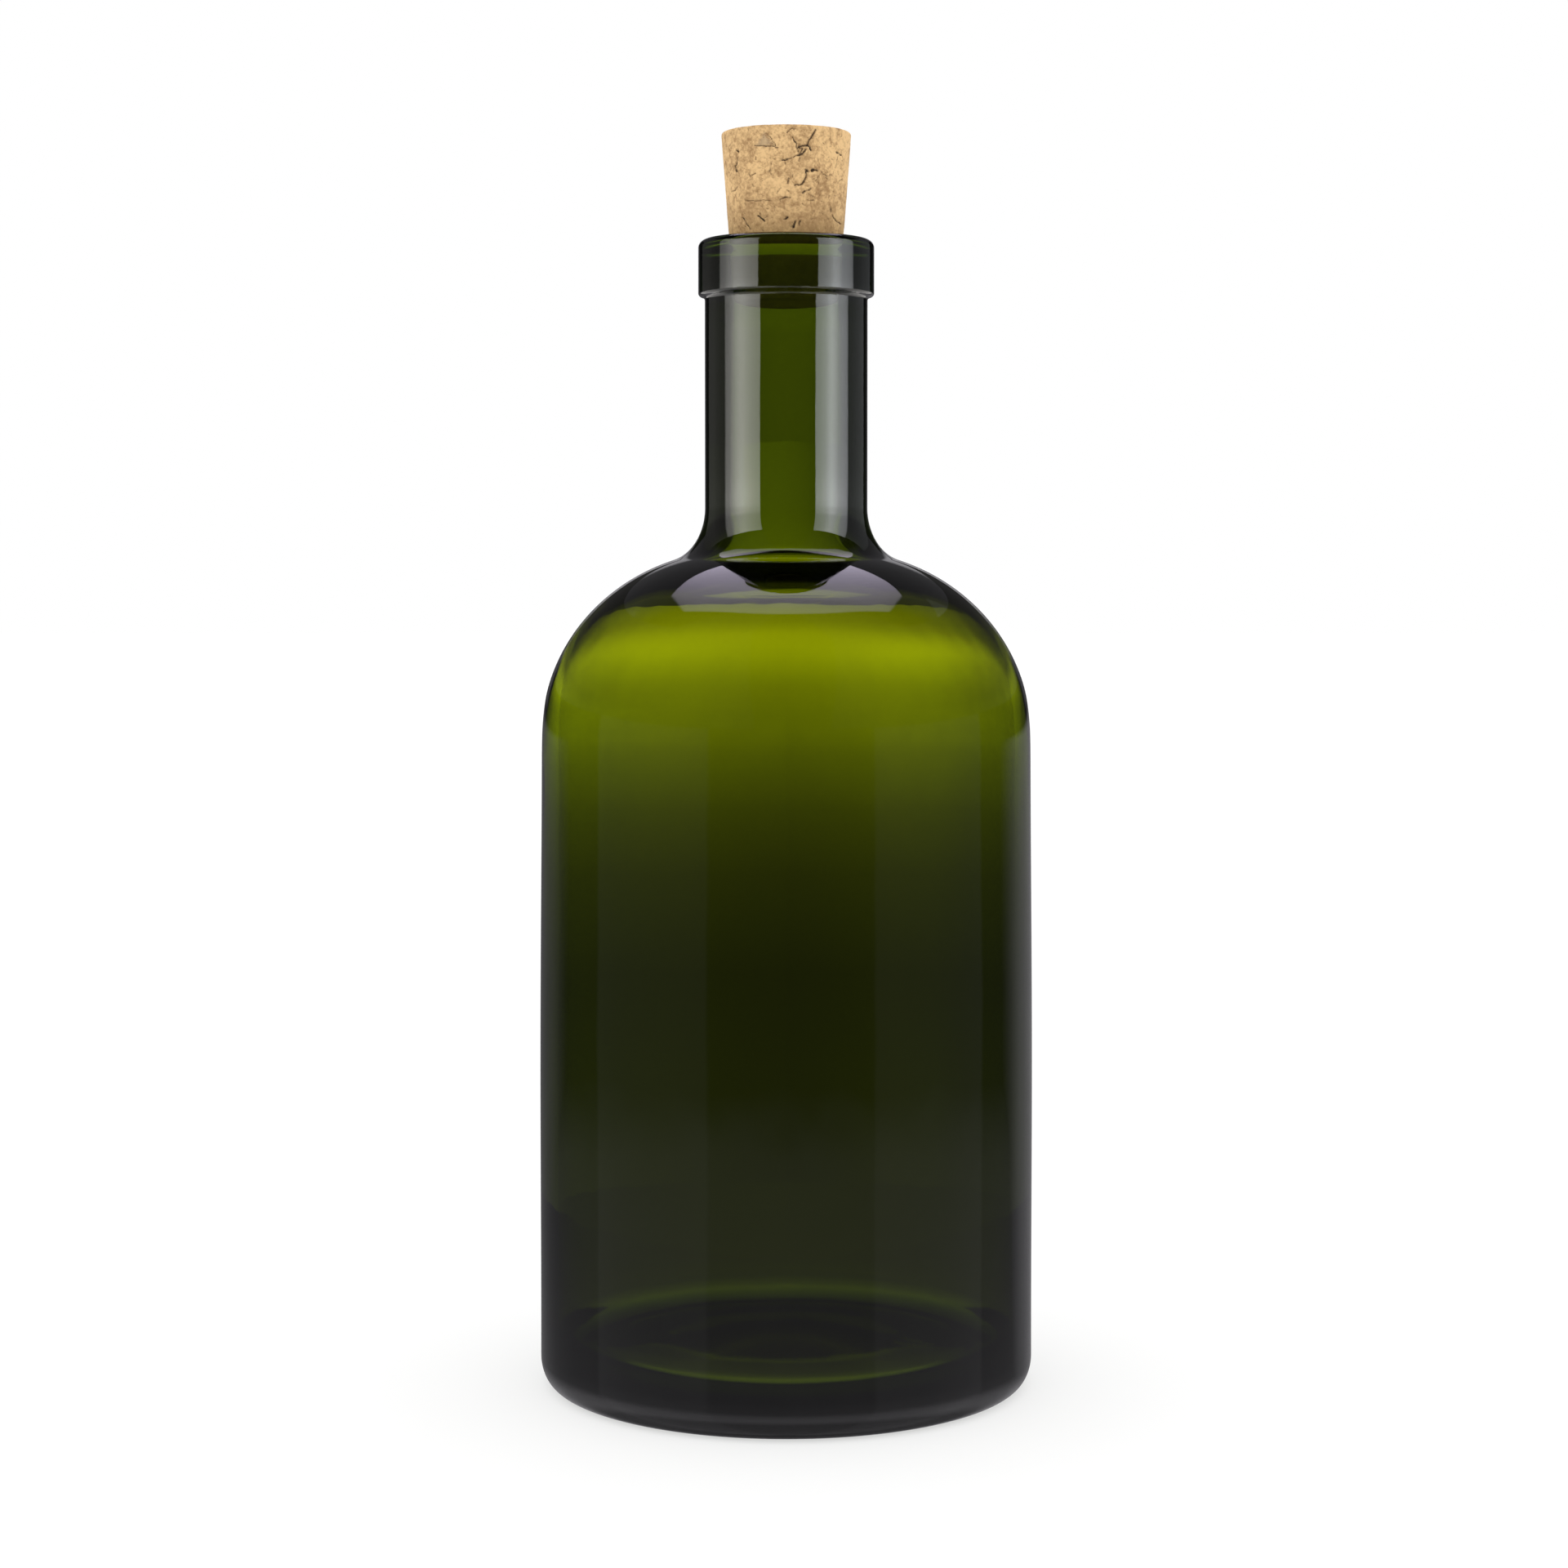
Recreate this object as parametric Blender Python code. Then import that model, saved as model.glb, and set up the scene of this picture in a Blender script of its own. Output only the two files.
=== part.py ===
"""Glass bottle with a cork, in metres, +Z up.

A round, straight-sided bottle with a domed shoulder, a long parallel neck and a squared lip stands
on its base at the origin. A tapered cork is pushed about a third of its length into the mouth.
Both pieces are bodies of revolution: a named profile turned about Z by a Screw modifier.
"""
import math

import bpy

# ---- driving dimensions ---------------------------------------------------------------------
HEIGHT_GLASS = 0.18235       # top of the lip above the floor
BODY_RADIUS = 0.03901        # straight side, at its top
BODY_DRAFT = 0.00043         # how much wider the side is at its foot
BODY_SWELL = 0.00018         # how far the side swells at its middle
SIDE_HIGH = 0.1039           # the side ends here, under the shoulder

DOME_RADIAL = 0.0314         # shoulder: quarter ellipse, half-width and height
DOME_HEIGHT = 0.0293

NECK_RADIUS = 0.01295
ROOT_WIDTH = 0.0066          # hollow between neck and shoulder: half-width and height of its ellipse
ROOT_HEIGHT = 0.0086
LIP_RADIUS = 0.0140
LIP_HEIGHT = 0.0090
LIP_TOP_EDGE = 0.0013
LIP_LOW_EDGE = 0.0006
LIP_FILLET = 0.0006
MOUTH_EDGE = 0.0006
FLARE_WIDTH = 0.0008         # the mouth is this much wider than the bore below it
FLARE_DEPTH = 0.0034

WALL_SIDE = 0.0025           # glass at the top of the side
WALL_LOW = 0.0029            # further down the side
WALL_NECK = 0.0040           # and at the neck
WALL_THIN = 0.0010           # the dome's middle is blown this much thinner
THIN_START = -0.0018         # the thin part begins at this length up the dome
THIN_PLACE = 0.0204          # and is thinnest at this one
RISE_START = 0.0326          # the wall thickens between these two lengths up the dome
RISE_END = 0.0484

HEEL_RADIAL = 0.0027         # rounded corner at the foot of the side
HEEL_HEIGHT = 0.0043
RING_INNER = 0.0320          # inner edge of the flat ring that the bottle stands on
PUNT_EDGE = 0.0016
PUNT_RISE = 0.0042           # the hollow under the base
FLOOR_EDGE = 0.0052          # inside floor, near the wall and at the middle
FLOOR_MIDDLE = 0.0090
INNER_HEEL = 0.0065

CORK_TOP = 0.1993
CORK_LENGTH = 0.0270
CORK_TOP_RADIUS = 0.01032
CORK_TAPER = 0.071           # loss of radius for each unit of length
CORK_EDGE = 0.0006
CORK_GAP = 0.0003            # clear ring between cork and bore

BOTTLE_STEPS = 64
CORK_STEPS = 56


# ---- profiles -------------------------------------------------------------------------------
def arc(centre, radii, start, end, steps):
    """Points of an elliptical arc, angles in degrees from +X, both ends included."""
    points = []
    for i in range(steps + 1):
        a = math.radians(start + (end - start) * i / steps)
        points.append((centre[0] + radii[0] * math.cos(a), centre[1] + radii[1] * math.sin(a)))
    return points


def line(first, last, steps):
    """Points strictly between two ends, so that long runs are cut into even bands."""
    return [(first[0] + (last[0] - first[0]) * i / steps, first[1] + (last[1] - first[1]) * i / steps)
            for i in range(1, steps)]


def cork_radius(z):
    """Radius of the tapered cork at a height."""
    return CORK_TOP_RADIUS - CORK_TAPER * (CORK_TOP - z)


def shoulder(dome_steps, root_steps):
    """Neck root and dome, top to bottom: a hollow ellipse that touches the neck line and the
    quarter ellipse of the dome. The hollow's centre stands off the dome's point along the
    direction in which its own edge has the dome's normal."""
    centre_r = BODY_RADIUS - DOME_RADIAL

    def touch(t):
        """Dome point at parameter t, the hollow's centre, and the touching angle on the hollow."""
        r, z = centre_r + DOME_RADIAL * math.sin(t), SIDE_HIGH + DOME_HEIGHT * math.cos(t)
        nr, nz = ROOT_WIDTH * math.sin(t) / DOME_RADIAL, ROOT_HEIGHT * math.cos(t) / DOME_HEIGHT
        n = math.hypot(nr, nz)
        centre = (r + ROOT_WIDTH * nr / n, z + ROOT_HEIGHT * nz / n)
        return (r, z), centre, math.degrees(math.atan2(-nz, -nr)) % 360.0

    low, high = 0.02, 1.3
    for _ in range(60):
        mid = 0.5 * (low + high)
        if touch(mid)[1][0] < NECK_RADIUS + ROOT_WIDTH:
            low = mid
        else:
            high = mid
    _, centre, end = touch(low)
    points = arc(centre, (ROOT_WIDTH, ROOT_HEIGHT), 180.0, end, root_steps)
    for i in range(1, dome_steps + 1):
        points.append(touch(low + (0.5 * math.pi - low) * i / dome_steps)[0])
    return points


def side(steps):
    """Straight side from top to bottom with its draft and its slight swell, without its ends."""
    points = []
    for i in range(1, steps):
        u = i / steps
        radius = BODY_RADIUS + BODY_DRAFT * u + BODY_SWELL * math.sin(math.pi * u) ** 2
        points.append((radius, SIDE_HIGH + (HEEL_HEIGHT - SIDE_HIGH) * u))
    return points


def wall(up):
    """Thickness of the glass at a length up the dome from the side's top: the side's thickness,
    a little more down the side, less on the dome, and a smooth rise to the neck's at the root."""
    u = min(max((up - RISE_START) / (RISE_END - RISE_START), 0.0), 1.0)
    rise = u * u * (3.0 - 2.0 * u)
    low = min(max(-up / 0.040, 0.0), 1.0)
    place = min(max((up - THIN_START) / (2.0 * (THIN_PLACE - THIN_START)), 0.0), 1.0)
    thin = WALL_THIN * math.sin(math.pi * place) ** 2 * (1.0 - rise)
    return WALL_SIDE + (WALL_LOW - WALL_SIDE) * low - thin + (WALL_NECK - WALL_SIDE) * rise


def inset(points):
    """Path moved inwards along its normals by the wall's thickness; the first point is on the
    neck and the path runs down to the heel."""
    lengths = [0.0]
    for (r0, z0), (r1, z1) in zip(points, points[1:]):
        lengths.append(lengths[-1] + math.hypot(r1 - r0, z1 - z0))
    top = min(range(len(points)), key=lambda i: abs(points[i][1] - SIDE_HIGH))
    inner = []
    for i, (r, z) in enumerate(points):
        (r0, z0), (r1, z1) = points[max(i - 1, 0)], points[min(i + 1, len(points) - 1)]
        n = math.hypot(r1 - r0, z1 - z0)
        thick = wall(lengths[top] - lengths[i])
        inner.append((r + thick * (z1 - z0) / n, z - thick * (r1 - r0) / n))
    return inner


def outer_profile():
    """Outside of the glass from the lip's top down to the middle of the punt."""
    top, under = HEIGHT_GLASS, HEIGHT_GLASS - LIP_HEIGHT
    points = arc((LIP_RADIUS - LIP_TOP_EDGE, top - LIP_TOP_EDGE), (LIP_TOP_EDGE,) * 2, 90, 0, 4)
    points += arc((LIP_RADIUS - LIP_LOW_EDGE, under + LIP_LOW_EDGE), (LIP_LOW_EDGE,) * 2, 0, -60, 2)
    points += arc((NECK_RADIUS + LIP_FILLET, under - LIP_FILLET), (LIP_FILLET,) * 2, 120, 180, 2)
    root = shoulder(13, 6)
    points += line(points[-1], root[0], 3) + root + side(8)
    foot = BODY_RADIUS + BODY_DRAFT
    points += arc((foot - HEEL_RADIAL, HEEL_HEIGHT), (HEEL_RADIAL, HEEL_HEIGHT), 0, -90, 6)
    points += arc((RING_INNER, PUNT_EDGE), (PUNT_EDGE,) * 2, -90, -130, 2)
    edge_r, edge_z = points[-1]
    for i in range(1, 5):
        u = i / 5
        points.append((edge_r * (1 - u), edge_z + (PUNT_RISE - edge_z) * math.sin(0.5 * math.pi * u)))
    return points + [(0.0, PUNT_RISE)]


def inner_profile():
    """Inside of the glass from the middle of the floor up to the mouth, which flares above the cork's
    seat."""
    under_cork = CORK_TOP - CORK_LENGTH
    bore_seat = cork_radius(HEIGHT_GLASS - FLARE_DEPTH) + CORK_GAP
    bore_cork = cork_radius(under_cork) + CORK_GAP
    rim = bore_seat + FLARE_WIDTH
    points = arc((rim + MOUTH_EDGE, HEIGHT_GLASS - MOUTH_EDGE), (MOUTH_EDGE,) * 2, 90, 176, 3)
    for i in range(5):
        u = 1 - i / 4
        points.append((bore_seat + FLARE_WIDTH * 0.5 * (1 - math.cos(math.pi * u)),
                       HEIGHT_GLASS - FLARE_DEPTH + (FLARE_DEPTH - 0.0008) * u))
    points += [(bore_cork, under_cork), (bore_cork + 0.0001, under_cork - 0.0030)]
    low = FLOOR_EDGE + INNER_HEEL
    inside = [p for p in inset(shoulder(12, 6) + side(8)) if p[1] > low + 0.004]
    points += line(points[-1], inside[0], 2) + inside
    wall_r = BODY_RADIUS + BODY_DRAFT - WALL_LOW
    points += arc((wall_r - INNER_HEEL, low), (INNER_HEEL,) * 2, 0, -90, 5)
    edge_r = points[-1][0]
    for i in range(1, 4):
        u = i / 4
        rise = (FLOOR_MIDDLE - FLOOR_EDGE) * 0.5 * (1 - math.cos(math.pi * u))
        points.append((edge_r * (1 - u), FLOOR_EDGE + rise))
    points.append((0.0, FLOOR_MIDDLE))
    return points[::-1]


def cork_profile():
    """Cork from the middle of its top, round the outside, to the middle of its foot."""
    foot = CORK_TOP - CORK_LENGTH
    top_r, foot_r = cork_radius(CORK_TOP), cork_radius(foot)
    points = [(0.0, CORK_TOP), (top_r * 0.5, CORK_TOP)]
    points += arc((top_r - CORK_EDGE, CORK_TOP - CORK_EDGE), (CORK_EDGE,) * 2, 90, 0, 3)
    points += line(points[-1], (foot_r, foot + CORK_EDGE), 4)
    points += arc((foot_r - CORK_EDGE, foot + CORK_EDGE), (CORK_EDGE,) * 2, 0, -90, 3)
    return points + [(foot_r * 0.5, foot), (0.0, foot)]


# ---- materials and objects ------------------------------------------------------------------
def material(name, color, roughness, transmission=0.0, ior=1.5):
    """Principled material from a linear colour."""
    mat = bpy.data.materials.new(name)
    mat.use_nodes = True
    bsdf = mat.node_tree.nodes["Principled BSDF"]
    bsdf.inputs["Base Color"].default_value = (*color, 1.0)
    bsdf.inputs["Roughness"].default_value = roughness
    bsdf.inputs["Metallic"].default_value = 0.0
    bsdf.inputs["IOR"].default_value = ior
    bsdf.inputs["Transmission Weight"].default_value = transmission
    mat.diffuse_color = (*color, 1.0)
    return mat


def turned(name, profile, steps, mat):
    """Object that turns a profile of (radius, height) points about Z into a closed solid."""
    mesh = bpy.data.meshes.new(name)
    edges = [(i, i + 1) for i in range(len(profile) - 1)]
    mesh.from_pydata([(r, 0.0, z) for r, z in profile], edges, [])
    mesh.materials.append(mat)
    obj = bpy.data.objects.new(name, mesh)
    bpy.context.scene.collection.objects.link(obj)
    screw = obj.modifiers.new("turn", 'SCREW')
    screw.axis = 'Z'
    screw.angle = 2.0 * math.pi
    screw.steps = screw.render_steps = steps
    screw.use_merge_vertices = True
    screw.merge_threshold = 0.00001
    screw.use_smooth_shade = True
    return obj


def build():
    """Clear the scene and build the bottle and its cork."""
    for obj in list(bpy.data.objects):
        bpy.data.objects.remove(obj, do_unlink=True)
    glass = material("olive_glass", (0.085, 0.100, 0.006), 0.03, transmission=1.0, ior=1.52)
    cork = material("pressed_cork", (0.560, 0.380, 0.200), 0.85)
    turned("bottle", inner_profile() + outer_profile(), BOTTLE_STEPS, glass)
    turned("cork", cork_profile(), CORK_STEPS, cork)


build()
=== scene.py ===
"""Olive-green glass bottle with a cork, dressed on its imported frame, in metres, +Z up."""
import math

import bpy
import numpy as np
from bpy.props import FloatProperty, FloatVectorProperty, IntProperty, PointerProperty
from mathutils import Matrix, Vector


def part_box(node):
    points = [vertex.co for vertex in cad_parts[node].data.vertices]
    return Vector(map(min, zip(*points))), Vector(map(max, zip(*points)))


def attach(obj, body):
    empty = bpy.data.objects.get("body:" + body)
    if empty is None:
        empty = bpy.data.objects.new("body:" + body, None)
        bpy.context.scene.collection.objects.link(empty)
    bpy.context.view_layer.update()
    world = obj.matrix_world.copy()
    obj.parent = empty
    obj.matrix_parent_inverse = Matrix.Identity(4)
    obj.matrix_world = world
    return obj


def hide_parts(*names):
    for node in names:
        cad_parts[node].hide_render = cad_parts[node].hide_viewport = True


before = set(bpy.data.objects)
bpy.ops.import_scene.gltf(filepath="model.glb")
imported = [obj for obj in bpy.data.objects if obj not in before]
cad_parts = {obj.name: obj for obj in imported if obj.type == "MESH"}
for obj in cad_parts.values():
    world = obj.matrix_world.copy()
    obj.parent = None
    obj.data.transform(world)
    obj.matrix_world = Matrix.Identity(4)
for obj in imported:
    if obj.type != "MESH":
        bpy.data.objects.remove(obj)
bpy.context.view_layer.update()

bl_info = {
    "name": "Corked Glass Bottle",
    "version": (1, 0, 0),
    "blender": (4, 5, 0),
    "location": "3D View > Sidebar > Bottle",
    "description": "Builds a round glass bottle with a domed shoulder and its pressed cork",
    "category": "Add Mesh",
}

BODY = "root"
CORK_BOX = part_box("cork")
GLASS_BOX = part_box("bottle")
TAU = 2.0 * math.pi
DEGREES = 180.0 / math.pi
LIP_LEVEL = 0.18235       # height of the lip's top, from which the cork's marks are measured
LIT_RING_TOP = 0.1806         # upper and lower edge of the pale ring round the cork, seen through the mouth: painted light, the cork lit from above through the mouth
LIT_RING_FOOT = 0.17905


# ---- settings -------------------------------------------------------------------------------
def length(label, text, value):
    """A length in metres for a property group."""
    return FloatProperty(name=label, description=text, default=value, unit="LENGTH", precision=5)


class GlassSettings(bpy.types.PropertyGroup):
    """Sizes and colour of the bottle."""
    height: length("Height", "Top of the lip above the floor", GLASS_BOX[1].z)
    body_radius: length("Body Radius", "Radius at the top of the straight side", 0.03901)
    body_draft: length("Body Draft", "How much wider the side is at its foot", 0.00043)
    body_swell: length("Body Swell", "How far the side swells at its middle", 0.00018)
    side_high: length("Side Top", "Height where the shoulder starts", 0.1039)
    dome_radial: length("Shoulder Width", "Half-width of the shoulder's ellipse", 0.0314)
    dome_height: length("Shoulder Height", "Height of the shoulder's ellipse", 0.0293)
    neck_radius: length("Neck Radius", "Outside radius of the neck", 0.01295)
    root_width: length("Root Width", "Half-width of the hollow between neck and shoulder", 0.0066)
    root_height: length("Root Height", "Height of the hollow between neck and shoulder", 0.0086)
    lip_radius: length("Lip Radius", "Outside radius of the lip", 0.0140)
    lip_height: length("Lip Height", "Height of the lip", 0.0090)
    flare_width: length("Flare Width", "How much wider the mouth is than the bore", 0.0008)
    flare_depth: length("Flare Depth", "Depth of the flared mouth", 0.0034)
    wall_side: length("Wall Side", "Thickness of the glass at the top of the side", 0.0025)
    wall_low: length("Wall Low", "Thickness of the glass further down the side", 0.0029)
    wall_neck: length("Wall Neck", "Thickness of the glass at the neck", 0.0040)
    wall_thin: length("Wall Thin", "How much thinner the glass is on the dome", 0.00101)
    thin_start: length("Thin Start", "Length up the dome where the thin part begins", -0.0018)
    thin_place: length("Thin Place", "Length up the dome of its thinnest glass", 0.0204)
    rise_start: length("Rise Start", "Length up the dome where the wall starts to thicken", 0.0326)
    rise_end: length("Rise End", "Length up the dome where the wall has the neck's thickness", 0.0484)
    ripple: length("Ripple", "Height of the faint waves on the blown surface", 0.00004)
    heel_radial: length("Heel Width", "How far the heel's curve reaches in", 0.0027)
    heel_height: length("Heel Height", "How far the heel's curve reaches up", 0.0043)
    ring_inner: length("Ring Radius", "Inner edge of the ring that the bottle stands on", 0.0320)
    punt_rise: length("Punt Rise", "Depth of the hollow under the base", 0.0042)
    turns: IntProperty(name="Turns", description="Faces round the bottle", default=180, min=32, max=180)
    tint: FloatVectorProperty(name="Tint", description="Colour that the glass lets through", size=3,
                              subtype="COLOR", min=0.0, max=1.0, default=(0.891, 0.910, 0.0))
    depth: FloatProperty(name="Depth of Colour", description="Absorption per metre of glass",
                         default=2400.0, min=0.0)


class CorkSettings(bpy.types.PropertyGroup):
    """Sizes and colours of the cork."""
    top_radius: length("Top Radius", "Radius at the top", 0.01032)
    taper: FloatProperty(name="Taper", description="Loss of radius for each unit of depth",
                         default=0.071)
    edge: length("Edge", "Rounding of both edges", 0.0005)
    granule: length("Granule", "Size of the pressed granules", 0.0034)
    crack: length("Crack", "Depth of the open cracks and pits", 0.00020)
    turns: IntProperty(name="Turns", description="Faces round the cork", default=440, min=64, max=440)
    pale: FloatVectorProperty(name="Pale Granule", description="Colour of the palest granules", size=3,
                              subtype="COLOR", min=0.0, max=1.0, default=(0.74, 0.49, 0.235))
    dark: FloatVectorProperty(name="Dark Granule", description="Colour of the darkest granules", size=3,
                              subtype="COLOR", min=0.0, max=1.0, default=(0.36, 0.215, 0.095))


class StageSettings(bpy.types.PropertyGroup):
    """Camera and light."""
    lens: FloatProperty(name="Lens", description="Focal length in millimetres", default=71.25,
                        unit="CAMERA")
    distance: length("Distance", "Camera to the bottle's axis", 0.4962)
    aside: length("Aside", "Camera to the right of the bottle's axis", -0.00035)
    eye: length("Eye Height", "Camera above the floor", 0.1297)
    tilt: FloatProperty(name="Tilt", description="Downward tilt of the camera", subtype="ANGLE",
                        default=math.radians(2.47))
    shift: FloatProperty(name="Shift", description="Vertical lens shift", default=-0.05)


# ---- shapes ---------------------------------------------------------------------------------
def arc(centre, radii, start, end, steps):
    """Elliptical arc: centre plus (a cos t, b sin t), t even from start to end in degrees."""
    t = np.radians(np.linspace(start, end, steps + 1))
    return np.column_stack([centre[0] + radii[0] * np.cos(t), centre[1] + radii[1] * np.sin(t)])


def shoulder(s, steps):
    """Neck root and dome, top to bottom: a hollow ellipse (half-width p, height q) that touches the
    neck line and the quarter ellipse r = c + a sin t, z = z0 + b cos t. The hollow's centre stands
    off the dome's point by (p^2 n_r, q^2 n_z) / |(p n_r, q n_z)|, n the dome's normal; the t is
    taken where that centre is p away from the neck line."""
    a, b, p, q = s.dome_radial, s.dome_height, s.root_width, s.root_height
    c = s.body_radius - s.dome_radial
    t = np.linspace(0.02, 1.3, 20001)
    nr, nz = np.sin(t) / a, np.cos(t) / b
    m = np.hypot(p * nr, q * nz)
    cr, cz = c + a * np.sin(t) + p * p * nr / m, s.side_high + b * np.cos(t) + q * q * nz / m
    k = int(np.argmin(np.abs(cr - (s.neck_radius + p))))
    end = math.degrees(math.atan2(-q * nz[k], -p * nr[k])) % 360.0
    hollow = arc((cr[k], cz[k]), (p, q), 180.0, end, steps)
    u = np.linspace(t[k], 0.5 * math.pi, 3 * steps)[1:]
    return np.vstack([hollow, np.column_stack([c + a * np.sin(u), s.side_high + b * np.cos(u)])])


def run(first, last, steps, swell=0.0):
    """Points strictly between two ends, pushed out by swell times the squared half sine."""
    u = np.linspace(0.0, 1.0, steps + 1)[1:-1, None]
    points = np.asarray(first) + (np.asarray(last) - np.asarray(first)) * u
    points[:, 0] += swell * np.sin(math.pi * u[:, 0]) ** 2
    return points


def lengths(points):
    """Length along a path at each of its points."""
    return np.r_[0.0, np.cumsum(np.hypot(*np.diff(points, axis=0).T))]


def eased(points, height, reach):
    """Profile whose bend at a height is spread out: near there each point is drawn to the average of
    its neighbours along the profile, weighted by a bell curve of the given reach."""
    s = lengths(points)
    fine = np.arange(0.0, s[-1], 0.0002)
    path = np.column_stack([np.interp(fine, s, points[:, i]) for i in (0, 1)])
    middle = fine[np.argmin(np.abs(path[:, 1] - height))]
    weight = np.exp(-0.5 * ((fine[None] - s[:, None]) / reach) ** 2)
    mean = weight @ path / weight.sum(1, keepdims=True)
    share = np.exp(-((s - middle) / (2.2 * reach)) ** 4)[:, None]
    return points * (1.0 - share) + mean * share


def inset(s, path):
    """Path moved inwards along its normals by the wall's thickness. With u the length up the dome
    from the side's top, the thickness is the side's, more in proportion to -u until 40 mm down the
    side, less thin sin^2(pi (u - start) / 2 (place - start)) on the dome, and it rises by the smooth
    step 3 x^2 - 2 x^3 to the neck's between two lengths."""
    along = lengths(path)
    up = along[np.argmin(np.abs(path[:, 1] - s.side_high))] - along
    x = np.clip((up - s.rise_start) / (s.rise_end - s.rise_start), 0.0, 1.0)
    rise = x * x * (3.0 - 2.0 * x)
    place = np.clip(0.5 * (up - s.thin_start) / (s.thin_place - s.thin_start), 0.0, 1.0)
    thin = s.wall_thin * np.sin(math.pi * place) ** 2 * (1.0 - rise)
    low_reach = 0.040
    low = (s.wall_low - s.wall_side) * np.clip(-up / low_reach, 0.0, 1.0)
    wall = s.wall_side + low - thin + (s.wall_neck - s.wall_side) * rise
    t = np.gradient(path, along, axis=0)
    t /= np.hypot(t[:, 0], t[:, 1])[:, None]
    return path + np.column_stack([t[:, 1], -t[:, 0]]) * wall[:, None]


def cork_radius(z):
    """Radius of the tapered cork at a height: top radius less taper times the depth."""
    c = bpy.context.scene.bottle_cork
    return c.top_radius - c.taper * (CORK_BOX[1].z - z)


def glass_wall(s):
    """Outside of root, dome and side, from the foot of the neck to the heel, with the bend between
    dome and side spread out."""
    root = shoulder(s, 30)
    foot = (s.body_radius + s.body_draft, s.heel_height)
    bend_reach = 0.0025
    return eased(np.vstack([root, run(root[-1], foot, 62, s.body_swell)]), s.side_high, bend_reach)


def glass_outside(s):
    """Outside from the lip's top to the middle of the punt: edge arc, lip, low edge, fillet, neck,
    root, dome and side, heel ellipse, flat ring, punt edge, and a quarter sine to the middle."""
    top, under = s.height, s.height - s.lip_height
    upper_edge, low_edge, ring_edge = 0.0013, 0.0006, 0.0016
    lip = np.vstack([arc((s.lip_radius - upper_edge, top - upper_edge), (upper_edge, upper_edge),
                         90, 0, 14),
                     run((s.lip_radius, top - upper_edge), (s.lip_radius, under + low_edge), 6),
                     arc((s.lip_radius - low_edge, under + low_edge), (low_edge, low_edge), 0, -60, 10),
                     arc((s.neck_radius + low_edge, under - low_edge), (low_edge, low_edge), 120, 180, 9)])
    wall = glass_wall(s)
    foot = s.body_radius + s.body_draft
    heel = arc((foot - s.heel_radial, s.heel_height), (s.heel_radial, s.heel_height), 0, -90, 16)
    ring = arc((s.ring_inner, ring_edge), (ring_edge, ring_edge), -90, -130, 5)
    u = np.linspace(0.0, 1.0, 19)[1:, None]
    edge = ring[-1]
    punt = np.hstack([edge[0] * (1 - u), edge[1] + (s.punt_rise - edge[1]) * np.sin(0.5 * math.pi * u)])
    return np.vstack([lip, run(lip[-1], wall[0], 22), wall, heel, run(heel[-1], ring[0], 3), ring,
                      punt])


def glass_inside(s):
    """Inside from the floor's middle to the mouth: the floor, raised by the half cosine
    h (1 - cos pi u) / 2, heel arc, the wall's inset, bore, a slight widening under the cork, the
    bore round the cork, and the mouth, which flares by such a half cosine to its rounded edge."""
    foot, seat = CORK_BOX[0].z, s.height - s.flare_depth
    clearance, rim_edge, rim_room = 0.00005, 0.0006, 0.0008
    widening, widening_depth = 0.0003, 0.0030
    bore_seat, bore_cork = cork_radius(seat) + clearance, cork_radius(foot) + clearance
    rim = bore_seat + s.flare_width
    u = np.linspace(1.0, 0.0, 13)
    mouth = np.vstack([arc((rim + rim_edge, s.height - rim_edge), (rim_edge, rim_edge), 90, 176, 8),
                       np.column_stack([bore_seat + s.flare_width * 0.5 * (1.0 - np.cos(math.pi * u)),
                                        seat + (s.flare_depth - rim_room) * u])])
    throat = np.array([[bore_cork, foot], [bore_cork + widening, foot - widening_depth]])
    floor_edge, floor_middle, bend, heel_gap = 0.0052, 0.0090, 0.0065, 0.001
    wall = inset(s, glass_wall(s))
    wall = wall[wall[:, 1] > floor_edge + bend + heel_gap]
    inner = s.body_radius + s.body_draft - s.wall_low
    heel = arc((inner - bend, floor_edge + bend), (bend, bend), 0, -90, 14)
    u = np.linspace(0.0, 1.0, 19)[1:, None]
    floor = np.hstack([heel[-1, 0] * (1 - u),
                       floor_edge + (floor_middle - floor_edge) * 0.5 * (1 - np.cos(math.pi * u))])
    points = np.vstack([mouth, run(mouth[-1], throat[0], 8), throat, run(throat[-1], wall[0], 22), wall,
                        heel, floor])
    return points[::-1]


def turned(profile, turns):
    """Surface of revolution on a grid of angle and profile point: (r cos t, r sin t, z). The first
    and last profile points lie on the axis and become single poles, which come last. Returns the
    points and the faces: quads round the rings and a fan at each pole."""
    t = np.linspace(0.0, TAU, turns, endpoint=False)
    ring = profile[1:-1]
    grid = np.empty((len(ring), turns, 3))
    grid[..., 0] = ring[:, :1] * np.cos(t)
    grid[..., 1] = ring[:, :1] * np.sin(t)
    grid[..., 2] = ring[:, 1:]
    i, j = np.meshgrid(np.arange(len(ring) - 1), np.arange(turns), indexing="ij")
    k = (j + 1) % turns
    quads = np.stack([i * turns + j, (i + 1) * turns + j, (i + 1) * turns + k, i * turns + k], -1)
    first, last = len(ring) * turns, len(ring) * turns + 1
    j = np.arange(turns)
    k = (j + 1) % turns
    end = (len(ring) - 1) * turns
    fans = [np.stack([np.full(turns, first), j, k], -1),
            np.stack([np.full(turns, last), end + k, end + j], -1)]
    poles = np.array([[0, 0, profile[0, 1]], [0, 0, profile[-1, 1]]])
    return np.vstack([grid.reshape(-1, 3), poles]), quads.reshape(-1, 4), np.vstack(fans)


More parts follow.
